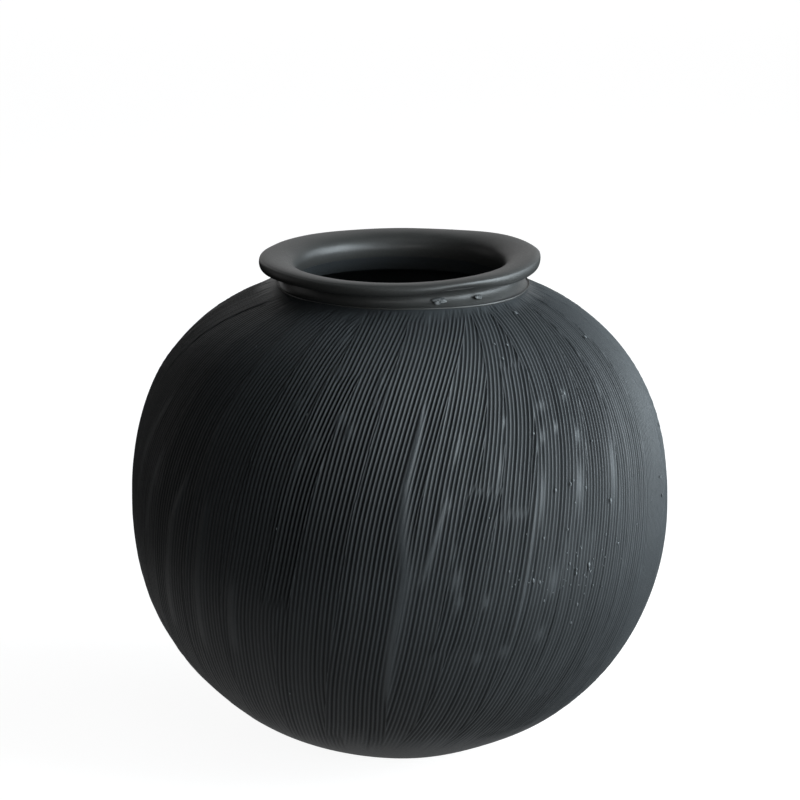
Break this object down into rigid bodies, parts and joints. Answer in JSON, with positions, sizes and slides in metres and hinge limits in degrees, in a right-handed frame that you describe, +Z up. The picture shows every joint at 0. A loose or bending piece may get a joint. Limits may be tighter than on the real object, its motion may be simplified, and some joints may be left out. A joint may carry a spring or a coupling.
{
  "type": "clay pot",
  "caption": "Near-spherical hand-built black clay pot with a combed body, a smooth neck collar, a flared rim and a small flat foot.",
  "frame": {"origin": "centre of the foot's flat underside, on the surface the pot stands on", "axes": "+Z up along the pot's axis; -Y is the front, the side with the two dabs of clay on the collar to the right; +X is to the right seen from the front"},
  "size_m": [0.3, 0.3, 0.2766],
  "materials": {
    "combed_black_clay": "unglazed smoke-fired black clay, satin, combed with fine grooves",
    "smoothed_black_clay": "unglazed smoke-fired black clay, rubbed smooth, soft sheen",
    "plain_black_clay": "unglazed smoke-fired black clay, matt"
  },
  "bodies": {
    "root": {"foot_pad": "plain_black_clay", "lower_bowl": "combed_black_clay", "lower_wall_course": "combed_black_clay", "lower_belly_course": "combed_black_clay", "upper_belly_course": "combed_black_clay", "upper_wall_course": "combed_black_clay", "shoulder_course": "combed_black_clay", "mouth_course": "combed_black_clay", "neck_collar": "smoothed_black_clay", "flared_rim": "smoothed_black_clay", "collar_dab_left": "smoothed_black_clay", "collar_dab_right": "smoothed_black_clay"}
  },
  "joints": []
}
